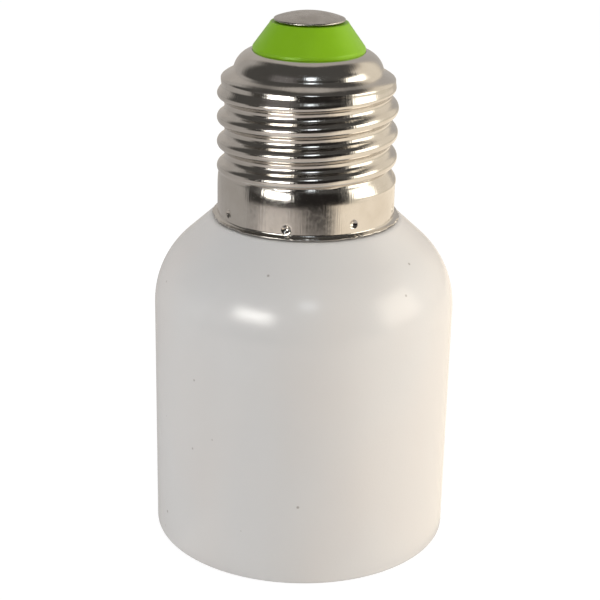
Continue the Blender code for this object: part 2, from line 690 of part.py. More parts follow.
def build_leads():
    """Live lead from its tag to the tip's pin, neutral lead from its tag to the cap shell."""
    foot_z = tag_top_z + FACE_GAP
    bend_z = foot_z + BARREL_HEIGHT + STRIPPED_LENGTH
    span = pin_low_z - bend_z
    live = [Vector((LIVE_BARREL_X, 0.0, foot_z)), Vector((LIVE_BARREL_X, 0.0, foot_z + BARREL_HEIGHT)),
            Vector((LIVE_BARREL_X, 0.0, bend_z)), Vector((LIVE_BARREL_X * 0.8, 0.0, bend_z + span * 0.3)),
            Vector((LIVE_BARREL_X * 0.25, 0.0, bend_z + span * 0.65)),
            Vector((0.0, 0.0, pin_low_z - STRIPPED_LENGTH / 2)),
            Vector((0.0, 0.0, pin_low_z + PIN_BORE_DEPTH - FACE_GAP))]
    build_lead("live_lead", live, foot_z + BARREL_HEIGHT + FACE_GAP, pin_low_z - FACE_GAP,
               "live_sleeve")

    slot_z = neck_top_z - SLOT_DEPTH
    inside_y = neck_bore - SLEEVE_RADIUS - 2 * RUN_GAP
    press_y = CAP_MINOR - CAP_SHEET - RUN_GAP - CORE_RADIUS
    neutral = [Vector((0.0, NEUTRAL_BARREL_Y, foot_z)),
               Vector((0.0, NEUTRAL_BARREL_Y, foot_z + BARREL_HEIGHT)),
               Vector((0.0, NEUTRAL_BARREL_Y, bend_z)),
               Vector((0.0, (NEUTRAL_BARREL_Y + inside_y) / 2, (bend_z + landing_z) / 2)),
               Vector((0.0, inside_y, landing_z + SHOULDER_WALL)),
               Vector((0.0, inside_y, slot_z)),
               Vector((0.0, (inside_y + press_y) / 2, slot_z + SLOT_DEPTH * 0.3)),
               Vector((0.0, press_y, slot_z + SLOT_DEPTH * 0.6)),
               Vector((0.0, press_y, neck_top_z - NECK_CHAMFER))]
    build_lead("neutral_lead", neutral, foot_z + BARREL_HEIGHT + FACE_GAP, slot_z, "neutral_sleeve")


def main():
    clear_scene()
    new_collection(PARTS_NAME)
    new_collection(CUTTERS_NAME)
    build_housing()
    build_cap_shell()
    build_tip_insulator()
    build_tip_contact()
    build_socket_seat()
    build_socket_shell()
    build_contact_leaf()
    build_contact_stud()
    build_rivets()
    build_seat_screws()
    build_tags()
    build_leads()


main()
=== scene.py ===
"""Looks of the lamp socket adapter: fine meshes, finishes, studio and camera.

Blender 4.5 script in metres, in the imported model's frame: the origin is the centre of the open rim,
+Z runs up the screw axis and -Y faces the camera.
"""

import json
import math

import bmesh
import bpy
from mathutils import Matrix, Vector, noise


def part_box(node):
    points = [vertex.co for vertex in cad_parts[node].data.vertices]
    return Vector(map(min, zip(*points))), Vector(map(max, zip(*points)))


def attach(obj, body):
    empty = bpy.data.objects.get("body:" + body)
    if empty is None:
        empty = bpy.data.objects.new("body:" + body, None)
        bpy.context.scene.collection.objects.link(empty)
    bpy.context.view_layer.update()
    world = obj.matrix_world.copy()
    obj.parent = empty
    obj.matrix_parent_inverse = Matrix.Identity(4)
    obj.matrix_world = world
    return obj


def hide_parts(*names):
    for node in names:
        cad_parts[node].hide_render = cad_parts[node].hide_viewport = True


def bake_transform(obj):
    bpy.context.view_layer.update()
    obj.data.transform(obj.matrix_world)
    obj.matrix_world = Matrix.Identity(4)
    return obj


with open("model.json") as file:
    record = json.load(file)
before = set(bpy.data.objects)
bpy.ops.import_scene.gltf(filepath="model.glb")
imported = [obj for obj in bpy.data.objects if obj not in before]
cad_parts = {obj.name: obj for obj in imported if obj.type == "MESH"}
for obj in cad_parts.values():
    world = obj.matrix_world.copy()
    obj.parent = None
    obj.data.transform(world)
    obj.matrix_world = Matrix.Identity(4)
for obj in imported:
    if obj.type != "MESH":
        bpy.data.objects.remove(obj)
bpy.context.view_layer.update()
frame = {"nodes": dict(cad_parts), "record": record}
slot_of = {part["node"]: part["material_slot"] for part in frame["record"]["subparts"]}

# Gap between stacked faces and gap around what passes through, as in the CAD
FACE_GAP = 0.0002
RUN_GAP = 0.0003

# Cap shell
CAP_MAJOR = 0.0132
CAP_MINOR = 0.0121
CAP_PITCH = 0.003629
CAP_SHEET = 0.00035
CAP_SKIRT = 0.0131
SKIRT_HEIGHT = 0.0065
FIRST_CREST = 0.0093
THREAD_LENGTH = 0.0155
DOME_WALL = 0.01085
DOME_OPENING = 0.0082
DOME_ROUND = 0.0034

# Upper end of the cap's thread: where it widens from the dome, and where its wave grows
TOP_LIFT = 0.00005
TOP_FLARE = 0.0015
TOP_FADE_DROP = 0.0017
TOP_FADE = 0.0022

# Shoulder of the skirt, steeper on the right, and the fade of the last crest above it
SHOULDER_START = 0.0042
SHOULDER_CURVE = 16250.0
SHOULDER_TILT = 0.45
LAST_CREST_RISE = 0.0008
LAST_CREST_TILT = 0.00065
LAST_CREST_FADE = 0.0012
MERGE = 0.00015

# Staking dimples punched in the skirt: azimuth in degrees and height above the hem
DIMPLE_PLACES = {-148: 0.0018, -104: 0.0019, -58: 0.0017, -11.8: 0.0014,
                 31.5: 0.0019, 76: 0.0019, 121: 0.0018, 166: 0.0019}
DIMPLE_RADIUS = 0.0007
DIMPLE_DEPTH = 0.00036
DIMPLE_BLUNTNESS = 1.3
DIMPLE_MARGIN = 0.00105

# Hem: width, flatness against a quarter circle, thickness of the edge, waves and nicks
HEM_FLARE = 0.0008
HEM_FLATNESS = 0.5
HEM_EDGE = 0.00024
HEM_WAVE = 0.00008
HEM_WAVE_RATE = 3.0
HEM_NICK = 0.0005
HEM_NICK_RATE = 23.0

# Green insulator and the contact on it
CONE_FOOT = 0.0005
CONE_LIFT = 0.0001
CONE_BASE = 0.00815
CONE_TOP = 0.00575
CONE_EDGE = 0.0003
CONE_WALL = 0.0014
INSULATOR_FLANGE = 0.0009
FLANGE_THICKNESS = 0.0013
PIN_RADIUS = 0.0014
PIN_BOSS_WALL = 0.0017
PIN_BOSS_LENGTH = 0.0028
PIN_BORE_DEPTH = 0.0032
PIN_BORE = 0.0008
CONTACT_EDGE = 0.00025
CONTACT_CROWN = 0.014
CONTACT_FLAT = 0.0016

# Housing
SHOULDER_ROUND = 0.0131
SHOULDER_SLOPE = math.radians(47.8)
BODY_STRAIGHT = 0.0363
BODY_WALL = 0.0018
RIM_ROUND = 0.0005
SHOULDER_WALL = 0.002
LANDING_MARGIN = 0.0002
LEDGE_RISE = 0.0023
LEDGE_WIDTH = 0.0018
NECK_WALL = 0.0018
NECK_STEP_DROP = 0.0022
BOSS_RADIUS = 0.0032
PILOT_DEPTH = 0.007
SLOT_DEPTH = 0.0085
LEAD_RADIUS = 0.0005

# Socket shell
SOCKET_MAJOR = 0.0199
SOCKET_MINOR = 0.0181
SOCKET_PITCH = 0.00635
SOCKET_SHEET = 0.0004
SOCKET_LIP = 0.0016
SOCKET_TOP_BEND = 0.0008
FLANGE_WIDTH = 0.0044

# Seat, rivets and screws
SEAT_EDGE = 0.0004
SHELL_RIVET = 0.0009
LEAF_RIVET = 0.0008
SCREW_RADIUS = 0.001
SCREW_THREAD = 0.00015
SCREW_PITCH = 0.0008
SCREW_FLANK = 3
SCREW_SLOT = 0.0005
SCREW_HEAD_HEIGHT = 0.0014
SCREW_HEAD_ROUND = SCREW_HEAD_HEIGHT * 0.6
SCREW_TIP_RADIUS = SCREW_RADIUS / 3
SCREW_TIP_LENGTH = SCREW_RADIUS / 2
SCREW_TAPER_LENGTH = SCREW_RADIUS * 1.5
RIVET_HEAD_HEIGHT = 0.0007

# Spring leaf and the stud in it
LEAF_THICKNESS = 0.0005
LEAF_WIDTH = 0.007
LEAF_BEND_START = -0.0074
LEAF_BEND_END = -0.0034
LEAF_TIP = 0.0044
LEAF_CURL_RISE = 0.0007
LEAF_DROP = 0.0029
LEAF_BEND_ROUND = 0.0006
LEAF_CORNER = 0.0012
LEAF_EDGE = LEAF_THICKNESS / 6
LEAF_RIVET_X = -0.0093
LEAF_RIVET_Y = 0.0021
STUD_EDGE = 0.0005
STUD_SHANK = 0.0013
STUD_TAIL = 0.0022
STUD_POCKET_MARGIN = 0.0009
STUD_POCKET = 0.0012
CONTACT_TRAVEL = 0.002

# Faceting
STEPS = 192
SMALL_STEPS = 48
DIMPLE_COLUMNS = 18
COLUMNS_BETWEEN = 16
CAP_ROW = 0.0002
CAP_INNER_ROW = 0.0005
SKIRT_ROW = 0.00022
DIMPLE_ROW = 0.00012
SOCKET_ROW = 0.00035
SCREW_ROW = SCREW_PITCH / 8
LEAF_STEP = LEAF_CORNER / 6
ARC_STEP = math.radians(3)
HEAD_STEP = math.radians(6)
BEND_STEP = math.radians(12)
EDGE_STEP = math.radians(24)
CORNER_STEPS = 4
BEND_STEPS = 8

# Rounding: radius of small edges and its largest share of a side; angles from which a corner
# stays, an edge is shaded sharp and a strip's edge is bevelled
SMALL_EDGE = 0.0002
SIDE_SHARE = 0.45
SMOOTH_CORNER = math.radians(160)
SHARP_EDGE = math.radians(42)
BEVELLED_EDGE = math.radians(50)

# Reach of a cutter past what it cuts, and a length that counts as none
OVERSHOOT = 0.0006
TINY = 0.000001

# Camera: place, aim and lens found from the photograph's outlines
CAMERA_DISTANCE = 0.21828
CAMERA_HEIGHT = 0.11693
CAMERA_PITCH = 0.3548
CAMERA_YAW = -0.0026
CAMERA_ROLL = 0.0204
CAMERA_LENS = 91.9
CAMERA_SENSOR = 36.0
CAMERA_CLIP = 0.01

# Soft boxes: azimuth and elevation in degrees, distance, size, power in watts, colour. All azimuths
# count from the camera's side and are positive to the right.
LAMPS = {
    "key": (76, 12, 0.6, 0.4, 1.88, (1.0, 0.9, 0.76)),
    "fill": (-74, 0, 0.6, 0.4, 1.1, (1.0, 1.0, 1.0)),
}
LAMP_AIM = 0.04
FILL_LIGHT = 0.55
WHITE_LIGHT = 1.0

# Cards that only reflections show. Those round the object: distance, azimuths, elevations, width of
# the soft edges in degrees, light. Later ones are nearer, so they cover earlier ones.
CARDS = {
    "room": (0.42, (-180, 180), (-90, 90), 0, (0.08, 0.077, 0.073)),
    "grey_wall": (0.41, (-205, -108), (-50, 54), 18, (0.46, 0.44, 0.42)),
    "warm_wall": (0.40, (90, 205), (-50, 54), 18, (0.62, 0.55, 0.46)),
    "back_wall": (0.395, (135, 225), (-12, 88), 14, (0.52, 0.49, 0.46)),
    "left_haze": (0.39, (-64, -16), (-4, 42), 10, (0.18, 0.17, 0.17)),
    "dark_front": (0.38, (-96, 52), (-26, -1), 4, (0.035, 0.032, 0.03)),
    "dark_screen": (0.378, (-20, 50), (-20, 26), 10, (0.018, 0.016, 0.015)),
    "right_glow": (0.376, (80, 150), (-16, 50), 14, (0.95, 0.86, 0.72)),
    "right_sill": (0.375, (50, 130), (-50, 4), 12, (0.85, 0.78, 0.64)),
    "right_window": (0.37, (56, 100), (-8, 30), 9, (3.2, 3.0, 2.6)),
    "ceiling_lamp": (0.36, (-4, 13), (26, 42), 5, (4.0, 4.4, 4.8)),
    "left_screen": (0.15, (-140, -72), (-40, 2), 9, (0.44, 0.42, 0.40)),
    "left_window": (0.08, (-51, -17), (-15, 4), 8, (14.0, 13.8, 13.2)),
}
CARD_CENTRE = 0.07
CARD_STEP = 2

# Cards on the table round the object: azimuths, distances from the axis, widths of the soft edges in
# degrees and in metres, light. Later ones lie higher.
TABLE_CARDS = {
    "table": ((-180, 180), (0.0, 0.2), (0, 0.005), (0.60, 0.55, 0.51)),
    "table_left": ((-180, -50), (0.0, 0.2), (20, 0.005), (0.46, 0.435, 0.415)),
    "table_bright": ((-64, -10), (0.0, 0.2), (16, 0.005), (0.85, 0.79, 0.74)),
    "table_right": ((22, 180), (0.0, 0.3), (24, 0.03), (1.15, 1.02, 0.84)),
    # The next card is a painted shadow: the camera's shadow on the table, seen only in reflections
    "painted_camera_shadow": ((-14, 48), (0.152, 0.198), (24, 0.012), (0.015, 0.014, 0.013)),
}
TABLE_STEP = 0.004
TABLE_SPACING = 0.0005

# Floor: place, extent, grey as it lights the object and as the camera sees it, glow to the camera
FLOOR_DROP = 0.00005
FLOOR_OPENING = 0.0213
FLOOR_RADIUS = 3.0
FLOOR_GREY = 0.88
FLOOR_SEEN_GREY = 0.25
FLOOR_GLOW = 0.87

# White moulding: colour, in its clouds and in its warm blotches; cells per metre, share of them
# without a speck, a speck's strength and colour
WHITE = (0.80, 0.79, 0.78)
WHITE_CLOUD = (0.785, 0.777, 0.768)
WHITE_WARM = (0.80, 0.765, 0.738)
SPECK_RATE = 260.0
SPECK_NONE = 0.68
SPECK_STRENGTH = 0.6
SPECK_COLOUR = (0.25, 0.2, 0.17)

# Green moulding: colour, in its clouds, and gloss
GREEN = (0.265, 0.55, 0.004)
GREEN_CLOUD = (0.245, 0.52, 0.003)
GREEN_GLOSS = 0.35

# Ceramic: colour, in its clouds and in its pore spots, and their strength; the pore spots are painted
# shade of tiny pits, which the mesh doesn't have
CERAMIC = (0.74, 0.72, 0.66)
CERAMIC_CLOUD = (0.66, 0.64, 0.585)
CERAMIC_PORE_SHADE = (0.4, 0.37, 0.33)
PORE_SHADE_STRENGTH = 0.5

# Plated sheet: colour, in its clouds, roughness, depth of its chatter marks; and the share of
# heights in them, which makes them upright
PLATED = {
    "nickel_shell": ((0.68, 0.65, 0.61), (0.63, 0.595, 0.55), 0.13, 0.000016),
    "socket_metal": ((0.68, 0.66, 0.62), (0.6, 0.58, 0.54), 0.18, 0.000006),
}
CHATTER_SQUEEZE = 0.04

# Bare metal: colour, in its stains, roughness
BARE = {
    "rivet_brass": ((0.70, 0.55, 0.28), (0.52, 0.38, 0.18), 0.24),
    "bare_copper": ((0.66, 0.36, 0.22), (0.5, 0.24, 0.14), 0.26),
    "contact_metal": ((0.60, 0.57, 0.54), (0.5, 0.47, 0.44), 0.22),
    "spring_bronze": ((0.62, 0.42, 0.20), (0.45, 0.28, 0.13), 0.24),
    "screw_steel": ((0.56, 0.56, 0.57), (0.46, 0.46, 0.48), 0.24),
}

# Sleeves of the leads: colour, and in its clouds
SLEEVES = {
    "live_sleeve": ((0.20, 0.07, 0.03), (0.15, 0.05, 0.02)),
    "neutral_sleeve": ((0.03, 0.13, 0.5), (0.02, 0.09, 0.38)),
}

# Sizes read from the frame
body_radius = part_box("housing")[1].x
neck_top_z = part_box("housing")[1].z
hem_z, hem_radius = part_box("cap_shell")[0].z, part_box("cap_shell")[1].x
opening_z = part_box("cap_shell")[1].z
pin_low_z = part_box("tip_contact")[0].z
contact_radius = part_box("tip_contact")[1].x
cone_top_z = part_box("tip_insulator")[1].z + CONE_LIFT
seat_low_z, seat_top_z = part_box("socket_seat")[0].z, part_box("socket_seat")[1].z
seat_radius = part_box("socket_seat")[1].x
socket_low_z, socket_top_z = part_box("socket_shell")[0].z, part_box("socket_shell")[1].z
stud_flat_z, stud_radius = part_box("contact_stud")[0].z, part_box("contact_stud")[1].x
leaf_root_x, leaf_end_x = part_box("contact_leaf")[0].x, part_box("contact_leaf")[1].x

# Sizes that follow from those above
landing_z = hem_z - FACE_GAP
thread_end_z = landing_z + SKIRT_HEIGHT + THREAD_LENGTH
thread_low_z = landing_z + SHOULDER_START
dimple_top_z = hem_z + DIMPLE_RADIUS + max(DIMPLE_PLACES.values())
body_bore = body_radius - BODY_WALL
neck_lower = CAP_SKIRT - CAP_SHEET - RUN_GAP
neck_upper = CAP_MINOR - CAP_SHEET - RUN_GAP
neck_bore = neck_upper - NECK_WALL
ledge_z = BODY_STRAIGHT + LEDGE_RISE
flange_top_z = opening_z - FLANGE_THICKNESS
flange_low_z = flange_top_z - FLANGE_THICKNESS
socket_radius = (SOCKET_MAJOR + SOCKET_MINOR) / 2
flange_outer = socket_radius - SOCKET_TOP_BEND
flange_inner = flange_outer - FLANGE_WIDTH
fixing_circle = (flange_outer + flange_inner) / 2
leaf_root_z = seat_low_z - FACE_GAP - LEAF_THICKNESS / 2
leaf_tip_z = leaf_root_z - LEAF_DROP


def arc(centre_r, centre_z, radius, start, end, step=ARC_STEP):
    """Points of an arc in the (r, z) plane; angles from the +r direction."""
    count = max(2, math.ceil(abs(end - start) / step))
    angles = [start + (end - start) * i / count for i in range(count + 1)]
    return [(centre_r + radius * math.cos(a), centre_z + radius * math.sin(a)) for a in angles]


def bend(start, corner, end, steps):
    """Points of a curve from start to end that turns at the corner."""
    shares = [step / steps for step in range(steps + 1)]
    return [start * (1 - t) ** 2 + corner * 2 * t * (1 - t) + end * t ** 2 for t in shares]


def filleted(outline, radius, closed=False):
    """The outline with its corners rounded; those of curves and straight runs stay."""
    points = [Vector(p) for p in outline]
    smooth = []
    for i, corner in enumerate(points):
        back = points[i - 1] - corner
        ahead = points[(i + 1) % len(points)] - corner
        at_end = not closed and i in (0, len(points) - 1)
        if at_end or back.angle(ahead) > SMOOTH_CORNER:
            smooth.append(corner)
            continue
        reach = min(radius, SIDE_SHARE * back.length, SIDE_SHARE * ahead.length)
        start = corner + back.normalized() * reach
        end = corner + ahead.normalized() * reach
        smooth += bend(start, corner, end, CORNER_STEPS)
    return [tuple(p) for p in smooth]


def even_turns(steps):
    """Angles of equal steps round the axis."""
    return [math.tau * i / steps for i in range(steps)]


def new_mesh(name, points, faces):
    """A mesh of these points and faces."""
    mesh = bpy.data.meshes.new(name)
    mesh.from_pydata(points, [], faces)
    return mesh


def new_object(name, data):
    """An object of the scene with this data."""
    thing = bpy.data.objects.new(name, data)
    bpy.context.scene.collection.objects.link(thing)
    return thing


def lathe(name, outline, turns, closed=False, radius_at=None):
    """Turn an (r, z) outline, outer side first and running down; radius_at may shape its points."""
    points, rings = [], []
    for r, z in outline:
        start = len(points)
        if r < TINY:
            points.append((0.0, 0.0, z))
            rings.append([start] * len(turns))
            continue
        for turn in turns:
            radius = radius_at(r, z, turn) if radius_at else r
            points.append((radius * math.cos(turn), radius * math.sin(turn), z))
        rings.append(range(start, start + len(turns)))
    faces = []
    for upper, lower in zip(rings, rings[1:] + rings[:1] if closed else rings[1:]):
        for i in range(len(turns)):
            j = (i + 1) % len(turns)
            corners = dict.fromkeys((upper[i], lower[i], lower[j], upper[j]))
            if len(corners) > 2:
                faces.append(tuple(corners))
    return new_mesh(name, points, faces)


def finished_mesh(name, shape):
    """The mesh of a bmesh, which is freed."""
    mesh = bpy.data.meshes.new(name)
    shape.to_mesh(mesh)
    shape.free()
    return mesh


def posts_mesh(name, posts):
    """Upright cylinders in one mesh, each given as (x, y, radius, low z, high z)."""
    shape = bmesh.new()
    for x, y, radius, low, high in posts:
        place = Matrix.Translation((x, y, (low + high) / 2))
        bmesh.ops.create_cone(shape, cap_ends=True, segments=SMALL_STEPS, radius1=radius,
                              radius2=radius, depth=high - low, matrix=place)
    return finished_mesh(name, shape)


def screw_posts(name, radius, low, high):
    """Posts on the axes of the two screws."""
    return posts_mesh(name, [(side * fixing_circle, 0.0, radius, low, high) for side in (-1, 1)])


def box_mesh(name, low, high):
    """A box between two corners."""
    shape = bmesh.new()
    size = [b - a for a, b in zip(low, high)]
    centre = [(a + b) / 2 for a, b in zip(low, high)]
    bmesh.ops.create_cube(shape, size=1.0,
                          matrix=Matrix.Translation(centre) @ Matrix.Diagonal((*size, 1.0)))
    return finished_mesh(name, shape)


def evaluated_mesh(thing):
    """The mesh of an object with its modifiers, after which the object is removed."""
    graph = bpy.context.evaluated_depsgraph_get()
    mesh = bpy.data.meshes.new_from_object(thing.evaluated_get(graph))
    bpy.data.objects.remove(thing, do_unlink=True)
    return mesh


def carved(mesh, cutter, operation="DIFFERENCE"):
    """The mesh after a boolean with another one."""
    block, tool = new_object(mesh.name, mesh), new_object(cutter.name, cutter)
    boolean = block.modifiers.new("cut", "BOOLEAN")
    boolean.operation = operation
    boolean.solver = "EXACT"
    boolean.object = tool
    result = evaluated_mesh(block)
    bpy.data.objects.remove(tool, do_unlink=True)
    return result


def fine_piece(node, mesh):
    """A piece that stands for a CAD node and takes the finish of its material slot."""
    piece = new_object(f"{node}_fine", mesh)
    mesh.materials.clear()
    mesh.materials.append(finishes[slot_of[node]])
    mesh.polygons.foreach_set("use_smooth", [True] * len(mesh.polygons))
    mesh.set_sharp_from_angle(angle=SHARP_EDGE)
    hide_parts(node)
    return piece


def add_piece(node, mesh, body="adapter"):
    """A fine piece that rides on a body."""
    piece = fine_piece(node, mesh)
    normals = piece.modifiers.new("normals", "WEIGHTED_NORMAL")
    normals.keep_sharp = True
    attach(piece, body)


def thread_wave(phase, pitch, major, minor):
    """Radius of a rolled thread: crest and root are equal arcs that meet halfway."""
    quarter = pitch / 4
    half_depth = (major - minor) / 2
    radius = (quarter ** 2 + half_depth ** 2) / (2 * half_depth)
    from_crest = abs(phase - round(phase)) * pitch
    if from_crest <= quarter:
        return major - radius + math.sqrt(radius ** 2 - from_crest ** 2)
    from_root = pitch / 2 - from_crest
    return minor + radius - math.sqrt(radius ** 2 - from_root ** 2)


def ease(value):
    """The value clamped to 0 and 1, with a smooth start and end."""
    value = min(1.0, max(0.0, value))
    return value * value * (3 - 2 * value)


def spaced(ends, step):
    """Even values from one end of a range to the other, at most a step apart."""
    count = math.ceil(abs(ends[1] - ends[0]) / step)
    return [ends[0] + (ends[1] - ends[0]) * i / count for i in range(count + 1)]


def rows(high, low, step):
    """Heights from high down to low, both left out."""
    return spaced((high, low), step)[1:-1]


def dimple_turns():
    """Angles round the cap, close together across each dimple."""
    half = DIMPLE_MARGIN / CAP_SKIRT
    starts = [math.radians(azimuth - 90) - half for azimuth in DIMPLE_PLACES]
    turns = []
    for start, following in zip(starts, starts[1:] + [starts[0] + math.tau]):
        end = start + 2 * half
        turns += [start + (end - start) * i / DIMPLE_COLUMNS for i in range(DIMPLE_COLUMNS)]
        turns += [end + (following - end) * i / COLUMNS_BETWEEN for i in range(COLUMNS_BETWEEN)]
    return turns


def merged(a, b):
    """The larger of two radii, with the corner between them eased."""
    overlap = max(0.0, MERGE - abs(a - b))
    return max(a, b) + overlap * overlap / (4 * MERGE)


def thread_radius(z, turn):
    """The rolled thread between dome and skirt; it fades into both."""
    wave = thread_wave((z - landing_z - FIRST_CREST) / CAP_PITCH - turn / math.tau,
                       CAP_PITCH, CAP_MAJOR, CAP_MINOR)
    side = math.cos(turn)
    last = ease((z - thread_low_z - LAST_CREST_RISE + LAST_CREST_TILT * side) / LAST_CREST_FADE)
    wave = CAP_MINOR + (wave - CAP_MINOR) * last
    middle = (CAP_MAJOR + CAP_MINOR) / 2
    flare_z = thread_end_z + TOP_LIFT
    flare = ease((flare_z - z) / TOP_FLARE)
    fade = ease((flare_z - TOP_FADE_DROP - z) / TOP_FADE)
    radius = DOME_WALL + (middle - DOME_WALL) * flare + (wave - middle) * fade
    curve = SHOULDER_CURVE * (1 + SHOULDER_TILT * side)
    shoulder = CAP_SKIRT - curve * max(0.0, z - thread_low_z) ** 3
    return merged(radius, shoulder)


def cap_radius(r, z, turn):
    """Shapes the cap's outline: thread, staking dimples and the hem's unevenness."""
    if z > thread_end_z:
        return r + thread_radius(z, turn) - DOME_WALL
    if z > thread_low_z:
        return r + thread_radius(z, turn) - CAP_SKIRT
    flare = ease((r - CAP_SKIRT) / HEM_FLARE)
    around = Vector((math.cos(turn), math.sin(turn), 0.0))
    r += flare * (HEM_WAVE * noise.noise(around * HEM_WAVE_RATE)
                  - HEM_NICK * abs(noise.noise(around * HEM_NICK_RATE)))
    if r > CAP_SKIRT - CAP_SHEET / 2:
        for azimuth, rise in DIMPLE_PLACES.items():
            across = math.remainder(turn - math.radians(azimuth - 90), math.tau) * CAP_SKIRT
            share = math.hypot(across, z - hem_z - rise) / DIMPLE_RADIUS
            r -= DIMPLE_DEPTH * max(0.0, 1 - share ** 2) ** DIMPLE_BLUNTNESS
    return r


def dome_arc(inset):
    """The dome from its opening down to the thread, inset by a wall."""
    start, end = Vector((DOME_OPENING, opening_z)), Vector((DOME_WALL, thread_end_z))
    middle, chord = (start + end) / 2, end - start
    inward = Vector((chord.y, -chord.x)).normalized()
    centre = middle + inward * math.sqrt(DOME_ROUND ** 2 - (chord.length / 2) ** 2)
    angles = [math.atan2(p.y - centre.y, p.x - centre.x) for p in (start, end)]
    return arc(centre.x, centre.y, DOME_ROUND - inset, *angles)


def hem_arc(radius, low_z, start, end):
    """The hem's outward curve, flatter than a quarter circle, up to its rounded edge."""
    curve = arc(hem_radius - HEM_EDGE / 2, radius, radius, start, end, BEND_STEP)
    return [(r, low_z + z * HEM_FLATNESS) for r, z in curve]


def build_cap_shell():
    """E27 cap: dome, rolled thread, dimpled skirt and hem, with its inner side."""
    half_edge = HEM_EDGE / 2
    hem_width = HEM_FLARE - half_edge
    hem_top_z = hem_z + HEM_EDGE + hem_width * HEM_FLATNESS
    outer = dome_arc(0.0)
    outer += [(CAP_SKIRT, z) for z in rows(thread_end_z, thread_low_z, CAP_ROW)]
    outer += [(CAP_SKIRT, z) for z in rows(thread_low_z, dimple_top_z, SKIRT_ROW)]
    outer += [(CAP_SKIRT, z) for z in rows(dimple_top_z, hem_top_z, DIMPLE_ROW)]
    outer += hem_arc(hem_width, hem_z + HEM_EDGE, math.pi, math.pi * 1.5)
    outer += arc(hem_radius - half_edge, hem_z + half_edge, half_edge,
                 math.pi / 2, -math.pi / 2, EDGE_STEP)[1:-1]
    inner = hem_arc(hem_width + CAP_SHEET, hem_z, math.pi * 1.5, math.pi)
    inner_rows = rows(thread_end_z, thread_low_z, CAP_INNER_ROW)
    inner += [(CAP_SKIRT - CAP_SHEET, z) for z in [thread_low_z, *reversed(inner_rows)]]
    inner += reversed(dome_arc(CAP_SHEET))
    mesh = lathe("cap_shell", outer + inner, dimple_turns(), closed=True, radius_at=cap_radius)
    add_piece("cap_shell", mesh)


def build_tip_insulator():
    """Green moulding: cone on a short foot in the cap's opening, flange and hollow below it."""
    base = DOME_OPENING - CAP_SHEET - FACE_GAP
    cone_base_z = opening_z + CONE_FOOT
    flange = base + INSULATOR_FLANGE
    foot_z = opening_z - CAP_SHEET / 2
    pin_hole = PIN_RADIUS + RUN_GAP
    boss = pin_hole + PIN_BOSS_WALL
    slope = (base - CONE_TOP) / (cone_top_z - cone_base_z)
    ceiling_z = cone_top_z - CONE_WALL
    outline = [(pin_hole, cone_top_z), (CONE_TOP - CONE_EDGE / 2, cone_top_z),
               (CONE_TOP, cone_top_z - CONE_EDGE), (CONE_BASE, cone_base_z), (CONE_BASE, foot_z),
               (base, foot_z - CAP_SHEET), (base, flange_top_z),
               (flange, flange_top_z), (flange, flange_low_z), (base - CONE_WALL, flange_low_z),
               (base - CONE_WALL, cone_base_z), (CONE_TOP + slope * CONE_WALL - CONE_WALL, ceiling_z),
               (boss, ceiling_z), (boss, flange_low_z - PIN_BOSS_LENGTH),
               (pin_hole, flange_low_z - PIN_BOSS_LENGTH)]
    outline = filleted(outline, SMALL_EDGE, closed=True)
    add_piece("tip_insulator", lathe("tip_insulator", outline, even_turns(STEPS), closed=True))


def build_tip_contact():
    """Domed contact with a hollow pin that takes the live lead."""
    contact_z = cone_top_z + FACE_GAP
    centre_z = contact_z + CONTACT_EDGE - math.sqrt(CONTACT_CROWN ** 2 - contact_radius ** 2)
    start = math.acos(CONTACT_FLAT / CONTACT_CROWN)
    end = math.acos(contact_radius / CONTACT_CROWN)
    crown = arc(0.0, centre_z, CONTACT_CROWN, start, end)
    bore_z = pin_low_z + PIN_BORE_DEPTH
    outline = [(0.0, crown[0][1])] + crown
    outline += [(contact_radius, contact_z), (PIN_RADIUS, contact_z), (PIN_RADIUS, pin_low_z),
                (PIN_BORE, pin_low_z), (PIN_BORE, bore_z), (0.0, bore_z)]
    mesh = lathe("tip_contact", filleted(outline, SMALL_EDGE), even_turns(STEPS))
    add_piece("tip_contact", mesh)


def shoulder_profile(inset, low_radius, low_z, top_radius):
    """The shoulder inset by a wall, from the neck at top_radius down to the straight wall."""
    centre_r, centre_z = body_radius - SHOULDER_ROUND, BODY_STRAIGHT
    radius = SHOULDER_ROUND - inset
    lowest = max(0.0, math.acos(min(1.0, (low_radius - centre_r) / radius)))
    curve = arc(centre_r, centre_z, radius, SHOULDER_SLOPE, lowest)
    top_z = curve[0][1] + (curve[0][0] - top_radius) / math.tan(SHOULDER_SLOPE)
    return [(top_radius, top_z)] + curve + [(low_radius, low_z)]


